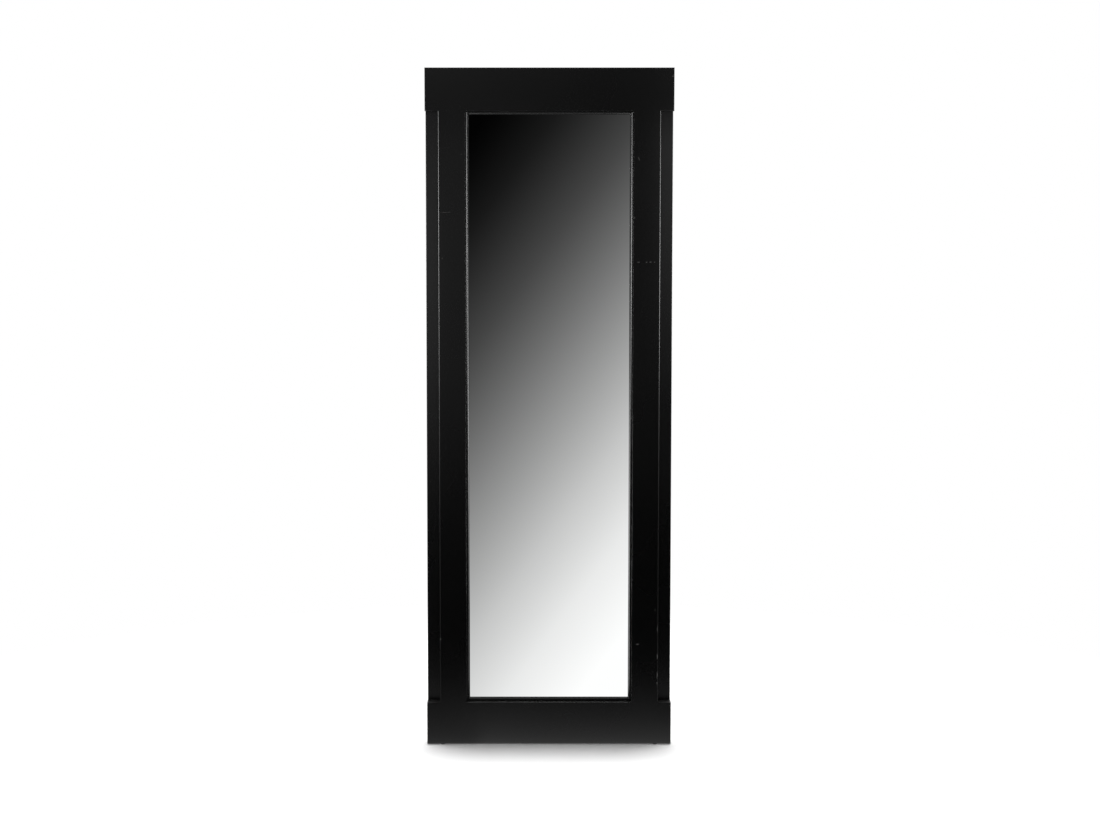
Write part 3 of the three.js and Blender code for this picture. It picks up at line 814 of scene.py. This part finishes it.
def makeBumpers():
    tree, given, result = shapeTree("wallBumper", {**bumperSizes, "Steps": 40, "Seed": 5})
    top, edge, tall, recess = "Top Radius", "Edge", "Height", "Recess"
    rings = [({"Radius": 0.985}, {tall: 0.0}), ({"Radius": 1.0}, {tall: 0.04})]
    for turn in quarterTurn(6):
        rings.append(({top: 1.0, edge: math.cos(turn) - 1}, {tall: 1.0, edge: math.sin(turn) - 1}))
    rings += [({recess: 1.08}, {tall: 1.0}), ({recess: 1.02}, {tall: 0.985}), ({recess: 1.0}, {tall: 0.95})]
    rings += [({recess: 1.0}, {tall: 1.02, "Depth": -1.0}), ({recess: 0.95}, {tall: 1.0, "Depth": -1.0})]
    body = turnedForm(tree, given, rings)
    setOnPoints(tree, given, result, body, -90)
    replaced = named("wall_bumper")
    seats = [seatOf(node) for node in replaced]
    mesh = finishedMesh(grow(tree, dots(seats), rubber, bumperSizes), smoothBelow=45)
    addPiece("wallBumpers", mesh, None, replaced)


def makePads():
    tree, given, result = shapeTree("feltPad", {**padSizes, "Steps": 72, "Seed": 7})
    wide, thick = "Radius", "Thickness"
    rings = [({wide: 0.93}, {thick: 0.0}), ({wide: 0.97}, {thick: 0.08}), ({wide: 0.99}, {thick: 0.3})]
    rings += [({wide: 0.985}, {thick: 0.55}), ({wide: 0.99}, {thick: 0.8}), ({wide: 0.97}, {thick: 1.0})]
    body = turnedForm(tree, given, rings)
    place = tree.nodes.new("GeometryNodeInputPosition")
    fuzz = put(tree, "ShaderNodeTexNoise", Scale=padFuzz["scale"], Vector=place.outputs[0])
    inward = minus(tree, 1.0, times(tree, fuzz.outputs["Fac"], padFuzz["depth"]))
    shrink = put(tree, "ShaderNodeCombineXYZ", X=inward, Y=inward, Z=1.0)
    moved = put(tree, "ShaderNodeVectorMath", operation="MULTIPLY")
    feed(tree, moved.inputs[0], place.outputs[0])
    feed(tree, moved.inputs[1], shrink.outputs[0])
    rough = put(tree, "GeometryNodeSetPosition", Geometry=body, Position=moved.outputs[0])
    setOnPoints(tree, given, result, rough.outputs[0], 0)
    replaced = named("floor_pad")
    seats = []
    for node in replaced:
        low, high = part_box(node)
        seats.append(((low.x + high.x) / 2, (low.y + high.y) / 2, low.z))
    mesh = finishedMesh(grow(tree, dots(seats), felt, padSizes), smoothBelow=50)
    addPiece("feltPads", mesh, None, replaced)


# D rings: wire bent to a D, with its ends meeting in the strap's eye

ringSizes = {
    "wire": 0.0036, "innerWidth": 0.030, "length": 0.026, "corner": 0.0045, "split": 0.0004,
    "cornerSteps": 8, "bowSteps": 40,
}


def ringPath(centre):
    size = ringSizes
    half = size["innerWidth"] / 2 + size["wire"] / 2
    corner, bend = half - size["corner"], size["corner"]
    ends = [(size["split"] / 2, 0)]
    for turn in quarterTurn(size["cornerSteps"]):
        ends.append((corner + bend * math.sin(turn), bend * (math.cos(turn) - 1)))
    turns = [math.pi * i / size["bowSteps"] for i in range(size["bowSteps"] + 1)]
    bow = [(half * math.cos(turn), half - size["length"] - half * math.sin(turn)) for turn in turns]
    points = ends + bow + [(-x, z) for x, z in reversed(ends)]
    return [(centre.x + x, centre.y, centre.z + z) for x, z in points]


def makeRings():
    sizes = {"Wire Radius": ringSizes["wire"] / 2}
    tree, given, result = shapeTree("bentWire", {**sizes, "Sides": 20})
    path = put(tree, "GeometryNodeMeshToCurve", Mesh=given["Geometry"])
    radius = given["Wire Radius"]
    section = put(tree, "GeometryNodeCurvePrimitiveCircle", Resolution=given["Sides"], Radius=radius)
    wire = put(
        tree, "GeometryNodeCurveToMesh",
        Fill_Caps=True, Curve=path.outputs[0], Profile_Curve=section.outputs[0],
    )
    real = put(tree, "GeometryNodeRealizeInstances", Geometry=wire.outputs[0])
    dress(tree, given, result, real.outputs[0])
    for side in sides:
        node = f"d_ring_{side}"
        low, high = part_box(node)
        axis = Vector(((low.x + high.x) / 2, (low.y + high.y) / 2, high.z - ringSizes["wire"] / 2))
        mesh = finishedMesh(grow(tree, dots(ringPath(axis), joined=True), zinc, sizes))
        addPiece(f"{side}Ring", mesh, None, [node], f"ring_{side}")


# straps: the CAD plates with softened edges

strapLook = {"width": 0.00025, "segments": 2, "limit_method": "ANGLE", "angle_limit": math.radians(50)}


def makeStraps():
    for side in sides:
        node = f"hanger_strap_{side}"
        mesh = finishedMesh(nodes[node].data.copy(), ("BEVEL", strapLook))
        addPiece(f"{side}Strap", mesh, zinc, [node])


# turn buttons: pressed plates with rolled edges, one on each body

buttonSizes = {
    "length": 0.038, "width": 0.014, "thickness": 0.0024, "edge": 0.0007, "hole": 0.0021,
    "sides": 96, "edgeSteps": 5,
}


def stadiumReach(turn, inset):
    # distance from the pivot to the plate's edge, in the direction of turn
    size = buttonSizes
    radius = size["width"] / 2 - inset
    far = size["length"] - size["width"]
    x, y = math.cos(turn), math.sin(turn)
    if x <= 0:
        return radius
    flat = radius / abs(y) if y else math.inf
    if flat * x <= far:
        return flat
    middle = x * far
    return middle + math.sqrt(max(middle * middle - far * far + radius * radius, 0.0))


def buttonMesh():
    size = buttonSizes
    lip, thick, count = size["edge"], size["thickness"], size["sides"]
    roll = quarterTurn(size["edgeSteps"])
    rings = [(lip * (1 - math.sin(turn)), lip * (1 - math.cos(turn))) for turn in roll]
    rings += [(lip * (1 - math.cos(turn)), thick - lip + lip * math.sin(turn)) for turn in roll]
    turns = [math.tau * i / count for i in range(count)]
    reaches = [([stadiumReach(turn, inset) for turn in turns], y) for inset, y in rings]
    reaches += [([size["hole"]] * count, y) for y in (thick, 0.0)]
    bm = bmesh.new()
    loops = [
        [bm.verts.new((far * math.cos(turn), y, far * math.sin(turn))) for far, turn in zip(reach, turns)]
        for reach, y in reaches
    ]
    for first, second in zip(loops, loops[1:] + loops[:1]):
        for i in range(count):
            bm.faces.new((first[i], second[i], second[(i + 1) % count], first[(i + 1) % count]))
    bmesh.ops.recalc_face_normals(bm, faces=bm.faces)
    return meshFrom(bm, "turnButton")


def makeButtons():
    plate = buttonMesh()
    for node in named("turn_button"):
        place = node.replace("turn_button_", "")
        x, y, z = seatOf(f"button_screw_{place}")
        middleX, y, middleZ = seatOf(node)
        turn = math.atan2(z - middleZ, middleX - x)
        mesh = plate.copy()
        mesh.transform(Matrix.Translation((x, y, z)) @ Matrix.Rotation(turn, 4, "Y"))
        first, *others = place.split("_")
        name = first + "".join(word.capitalize() for word in others) + "TurnButton"
        mesh = finishedMesh(mesh, smoothBelow=60)
        addPiece(name, mesh, zinc, [node], f"button_{place}")


# glass with ground edges, and the panel behind it

groundEdgeWidth = 0.0008


def makeGlass():
    bm = plainSolid("mirror_glass")
    bmesh.ops.bevel(
        bm, geom=list(bm.edges), offset=groundEdgeWidth, segments=1, profile=0.5, affect="EDGES"
    )
    mesh = meshFrom(bm, "glass")
    for finish in (mirrorFinish, groundEdge, silverBacking):
        mesh.materials.append(finish)
    for face in mesh.polygons:
        face.material_index = 0 if face.normal.y < -0.99 else 2 if face.normal.y > 0.99 else 1
    addPiece("mirrorGlass", mesh, None, ["mirror_glass"])


def paint(names, material):
    for name in names:
        nodes[name].data.materials.clear()
        nodes[name].data.materials.append(material)


makeFrameBoards()
makeBead()
print("frame and bead made")
makeScrews()
makeBumpers()
makePads()
makeRings()
makeStraps()
makeButtons()
print("fittings made")
makeGlass()
paint(named("loose_tenon"), timber)
paint(["foam_underlay"], foam)
paint(["back_panel"], fibreboard)
paint(named("setting_block"), rubber)
print("glass and backing made")


# studio: floor, white surround, soft boxes, and a card that only reflections see

studio = {
    "floorRadius": 2.4,
    "floorEdge": 0.05,  # clear ring at the rim
    "floorFade": 0.9,
    "floorColour": 0.98,
    # how light satin surfaces see the floor, by place from the mirror's plane forward (-) and across
    "satinFloor": [
        (-0.6, 0.08), (-0.4, 0.25), (-0.3, 0.42), (-0.2, 0.5), (-0.12, 0.62), (-0.07, 0.8), (-0.03, 1.05),
        (0.0, 0.3), (0.2, 0.1),
    ],
    "satinFloorAcross": [(-0.5, 0.75), (-0.24, 0.75), (-0.19, 1.08), (0.0, 1.0), (0.5, 1.0)],
    # and how light the bead sees it by way of the glass, by place across
    "beadFloor": [(-0.5, 4.5), (-0.3, 0.5), (-0.2, 0.06), (0.2, 0.06), (0.3, 0.2), (0.5, 1.2)],
    "surround": 0.28,  # what the white surround gives to matt surfaces
    "overheadPower": 3.3,  # soft overhead light, leaning forward from behind the mirror
    "overheadAngle": 11.0,
    "overheadLean": 4.5,
    "lamps": {"front": (44.0, -4.5), "rear": (45.0, 4.0)},  # power and place along y
    "lampSize": (2.4, 2.0),
    "lampHeight": 1.6,
    "lampAim": 1.0,  # the height that they point at
    "cardGap": 0.3,  # from the glass to the card
    "cardHalfWidth": 1.5,
    "cardHeights": (-0.3, 2.9),
    "satinHalfWidth": 0.6,  # satin surfaces see only this much of the card
}

# The card stands close in front of the glass, and only reflections see it. A sharp reflection sees a
# slanting fade from black to white, and satin lacquer a dim upright one. Stops are (place, level).
cardLook = {
    "slant": (432.2, -317.2, 724.3),  # per metre across, per metre up, and at the floor's middle
    "glassFade": [  # tones on the screen, from 0 to 1
        (37, 0.0), (130, 0.095), (250, 0.271), (400, 0.537), (540, 0.777), (640, 0.918), (740, 1.0),
    ],
    "silver": 0.93,  # share of light the mirror gives back
    "satinFade": [
        (0.0, 0.24), (0.03, 0.21), (0.06, 0.16), (0.10, 0.10), (0.15, 0.055), (0.22, 0.022), (0.30, 0.012),
        (0.40, 0.015), (0.50, 0.025), (0.61, 0.037), (0.70, 0.055), (0.80, 0.085), (0.90, 0.112),
        (1.03, 0.148), (1.15, 0.175), (1.35, 0.20), (1.55, 0.222), (1.80, 0.215), (1.90, 0.16),
        (1.97, 0.155), (2.04, 0.21),
    ],
    "acrossPlaces": (-0.36, -0.32, -0.19, 0.10, 0.20, 0.31, 0.36),
    "satinAcross": [  # height, then the factor at each of those places
        (0.08, (1.05, 1.03, 1.42, 1.15, 1.05, 1.10, 0.90)),
        (0.28, (1.30, 1.10, 1.02, 0.76, 0.60, 0.60, 0.50)),
        (0.95, (1.35, 1.10, 1.02, 0.76, 0.60, 0.55, 0.42)),
        (1.35, (1.65, 1.10, 1.04, 0.76, 0.60, 0.58, 1.05)),
        (1.85, (1.00, 1.08, 1.00, 0.76, 0.58, 0.52, 1.85)),
        (1.93, (1.20, 1.18, 1.02, 0.74, 0.64, 0.62, 1.00)),
    ],
    # what the bead sees by way of the glass, at each side and in the middle, by height
    "sideFrom": 0.25,
    "sideBlend": 0.1,
    "left": [
        (0.0, 3.6), (0.35, 5.0), (0.65, 6.2), (0.8, 5.2), (0.95, 4.4), (1.1, 2.8), (1.25, 1.8), (1.4, 1.2),
        (1.6, 0.8), (2.1, 0.6),
    ],
    "right": [
        (0.0, 0.7), (0.35, 1.0), (0.45, 1.8), (0.6, 3.4), (0.75, 4.8), (0.95, 5.6), (1.1, 4.4), (1.25, 3.0),
        (1.4, 1.8), (1.6, 0.3), (2.1, 0.2),
    ],
    "middle": [(0.0, 0.1), (0.33, 0.2), (0.45, 1.5), (0.9, 0.9), (1.05, 0.1), (2.1, 0.1)],
}


def fade(tree, value, stops):
    # level by place, through stops of (place, level); a ramp doesn't hold levels above 1 well
    most = max(level for at, level in stops)
    low, high = stops[0][0], stops[-1][0]
    node = put(tree, "ShaderNodeValToRGB", Fac=spread(tree, value, low, high))
    ramp = node.color_ramp
    while len(ramp.elements) < len(stops):
        ramp.elements.new(1.0)
    for element, (at, level) in zip(ramp.elements, stops):
        element.position = (at - low) / (high - low)
        element.color = (*[level / most] * 3, 1)
    return times(tree, node.outputs[0], most)


def mixed(tree, factor, first, second):
    node = tree.nodes.new("ShaderNodeMix")
    for socket, value in zip((node.inputs[0], node.inputs[2], node.inputs[3]), (factor, first, second)):
        feed(tree, socket, value)
    return node.outputs[0]


def sharpReflection(tree):
    # 1 where the ray comes straight from the mirror glass or another polished face
    ray = tree.nodes.new("ShaderNodeLightPath").outputs
    first = maths(tree, "LESS_THAN", ray["Glossy Depth"], 1.5)
    return times(tree, ray["Is Singular Ray"], first), ray


def blend(tree, factor, first, second):
    node = tree.nodes.new("ShaderNodeMixShader")
    for socket, value in zip(node.inputs, (factor, first.outputs[0], second.outputs[0])):
        join(tree, value, socket)
    return node


def fadedOut(tree, shader, gone):
    # the stage material's result, clear where gone is 1
    clear = tree.nodes.new("ShaderNodeBsdfTransparent")
    put(tree, "ShaderNodeOutputMaterial", Surface=blend(tree, gone, shader, clear).outputs[0])


def standingCard(name, corners, order, material):
    # a sheet that only reflections see
    mesh = bpy.data.meshes.new(name)
    mesh.from_pydata(corners, [], [order])
    mesh.materials.append(material)
    card = bpy.data.objects.new(name, mesh)
    scene.collection.objects.link(card)
    card.visible_camera = False
    card.visible_diffuse = False
    card.visible_transmission = False
    card.visible_shadow = False
    return card


def makeWorld():
    world = bpy.data.worlds.new("surround")
    scene.world = world
    world.use_nodes = True
    tree = world.node_tree
    tree.nodes.clear()
    ray = tree.nodes.new("ShaderNodeLightPath").outputs
    seen = maths(tree, "MAXIMUM", ray["Is Camera Ray"], ray["Is Glossy Ray"])
    seen = maths(tree, "MAXIMUM", seen, ray["Is Transmission Ray"])
    strength = spread(tree, seen, 0.0, 1.0, studio["surround"], 1.0)
    back = put(tree, "ShaderNodeBackground", Color=(1, 1, 1, 1), Strength=strength)
    put(tree, "ShaderNodeOutputWorld", Surface=back.outputs[0])


def makeFloor():
    bm = bmesh.new()
    bmesh.ops.create_circle(bm, cap_ends=True, segments=96, radius=studio["floorRadius"])
    mesh = meshFrom(bm, "studioFloor")
    floor = bpy.data.objects.new("studioFloor", mesh)
    scene.collection.objects.link(floor)
    material, tree = emptyMaterial("studioFloor")
    place = objectPlace(tree)
    apart = axes(tree, place)
    matt = put(tree, "ShaderNodeBsdfDiffuse", Color=(*[studio["floorColour"]] * 3, 1.0))
    sharp, ray = sharpReflection(tree)
    satin = minus(tree, ray["Is Glossy Ray"], sharp, clamp=True)
    dim = times(
        tree, fade(tree, apart["Y"], studio["satinFloor"]), fade(tree, apart["X"], studio["satinFloorAcross"])
    )
    dim = mixed(tree, ray["Is Singular Ray"], dim, fade(tree, apart["X"], studio["beadFloor"]))
    ground = blend(tree, satin, matt, put(tree, "ShaderNodeEmission", Strength=dim))
    far = put(tree, "ShaderNodeVectorMath", operation="LENGTH", Vector=place).outputs["Value"]
    rim = studio["floorRadius"] - studio["floorEdge"]
    fadedOut(tree, ground, spread(tree, far, rim - studio["floorFade"], rim))
    material.cycles.emission_sampling = "NONE"
    mesh.materials.append(material)


def makeCard():
    material, tree = emptyMaterial("studioCard")
    apart = axes(tree, objectPlace(tree))
    across, up, start = cardLook["slant"]
    slant = plus(tree, times(tree, apart["X"], across), times(tree, apart["Z"], up))
    tone = fade(tree, plus(tree, slant, start), cardLook["glassFade"])
    # from the tone on the screen to light
    sharp = maths(tree, "POWER", maths(tree, "DIVIDE", plus(tree, tone, 0.055), 1.055), 2.4)
    sharp = maths(tree, "DIVIDE", sharp, cardLook["silver"])
    satin = fade(tree, apart["Z"], cardLook["satinFade"])
    factor, lastHeight = None, 0.0
    for height, levels in cardLook["satinAcross"]:
        here = fade(tree, apart["X"], list(zip(cardLook["acrossPlaces"], levels)))
        if factor:
            here = mixed(tree, spread(tree, apart["Z"], lastHeight, height), factor, here)
        factor, lastHeight = here, height
    satin = times(tree, satin, factor)
    side = maths(tree, "GREATER_THAN", apart["X"], 0.0)
    left, right, middle = (fade(tree, apart["Z"], cardLook[key]) for key in ("left", "right", "middle"))
    fromMiddle = maths(tree, "ABSOLUTE", apart["X"])
    outer = spread(tree, fromMiddle, cardLook["sideFrom"], cardLook["sideFrom"] + cardLook["sideBlend"])
    bead = mixed(tree, outer, middle, mixed(tree, side, left, right))
    straight, ray = sharpReflection(tree)
    singular = ray["Is Singular Ray"]
    chosen = mixed(tree, straight, mixed(tree, singular, satin, bead), sharp)
    wide = maths(tree, "GREATER_THAN", fromMiddle, studio["satinHalfWidth"])
    hidden = times(tree, wide, minus(tree, 1.0, singular))
    fadedOut(tree, put(tree, "ShaderNodeEmission", Strength=chosen), hidden)
    material.cycles.emission_sampling = "NONE"
    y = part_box("mirror_glass")[0].y - studio["cardGap"]
    half, (low, high) = studio["cardHalfWidth"], studio["cardHeights"]
    corners = [(-half, y, low), (half, y, low), (half, y, high), (-half, y, high)]
    card = standingCard("studioCard", corners, (0, 3, 2, 1), material)


# Standing cards at both sides, x metres out: a soft box level with the mirror, and a dim flag from
# there backwards. Only satin surfaces see them, by the glow at each height.
sideCards = {
    "x": 1.6,
    "top": 2.1,
    "softBox": {
        "y": (-0.53, 0.4),
        "left": [
            (0.0, 0.02), (0.3, 0.03), (0.6, 0.3), (0.8, 1.3), (0.95, 3.1), (1.1, 6.3), (1.25, 9.0),
            (1.4, 11.8), (1.62, 13.6), (1.75, 9.9), (1.9, 6.3), (2.1, 5.0),
        ],
        "right": [
            (0.0, 0.02), (0.3, 0.03), (0.6, 0.1), (0.8, 0.5), (0.95, 2.4), (1.1, 7.3), (1.25, 10.7),
            (1.4, 16.2), (1.62, 12.6), (1.75, 12.0), (1.9, 4.9), (2.1, 4.0),
        ],
    },
    "flag": {
        "y": (0.4, 1.4),
        "both": [(0.0, 0.04), (0.5, 0.04), (0.9, 0.12), (1.2, 0.35), (2.1, 0.45)],
    },
}


def sideCardMaterial(name, glows):
    material, tree = emptyMaterial(name)
    height = axes(tree, objectPlace(tree))["Z"]
    glow = put(tree, "ShaderNodeEmission", Strength=fade(tree, height, glows))
    fadedOut(tree, glow, tree.nodes.new("ShaderNodeLightPath").outputs["Is Singular Ray"])
    return material


def makeSideCards():
    for kind in ("softBox", "flag"):
        look, top = sideCards[kind], sideCards["top"]
        near, far = look["y"]
        for side, sign in sides.items():
            name = f"{side}{kind}"
            x = sign * sideCards["x"]
            corners = [(x, near, 0.0), (x, far, 0.0), (x, far, top), (x, near, top)]
            order = (0, 3, 2, 1) if sign > 0 else (0, 1, 2, 3)
            card = standingCard(name, corners, order, sideCardMaterial(name, look.get(side) or look["both"]))


def makeLamps():
    overhead = bpy.data.lights.new("overhead", "SUN")
    overhead.energy = studio["overheadPower"]
    overhead.angle = math.radians(studio["overheadAngle"])
    light = bpy.data.objects.new("overhead", overhead)
    light.rotation_euler = (math.radians(-studio["overheadLean"]), 0, 0)
    light.visible_glossy = False
    scene.collection.objects.link(light)
    for name, (power, y) in studio["lamps"].items():
        data = bpy.data.lights.new(name, "AREA")
        data.shape = "RECTANGLE"
        data.size, data.size_y = studio["lampSize"]
        data.energy = power
        light = bpy.data.objects.new(name, data)
        light.location = (0.0, y, studio["lampHeight"])
        aim = Vector((0, 0, studio["lampAim"])) - light.location
        light.rotation_euler = aim.to_track_quat("-Z", "Y").to_euler()
        light.visible_camera = False
        light.visible_glossy = False
        scene.collection.objects.link(light)


makeWorld()
makeFloor()
makeCard()
makeSideCards()
makeLamps()
print("studio made")
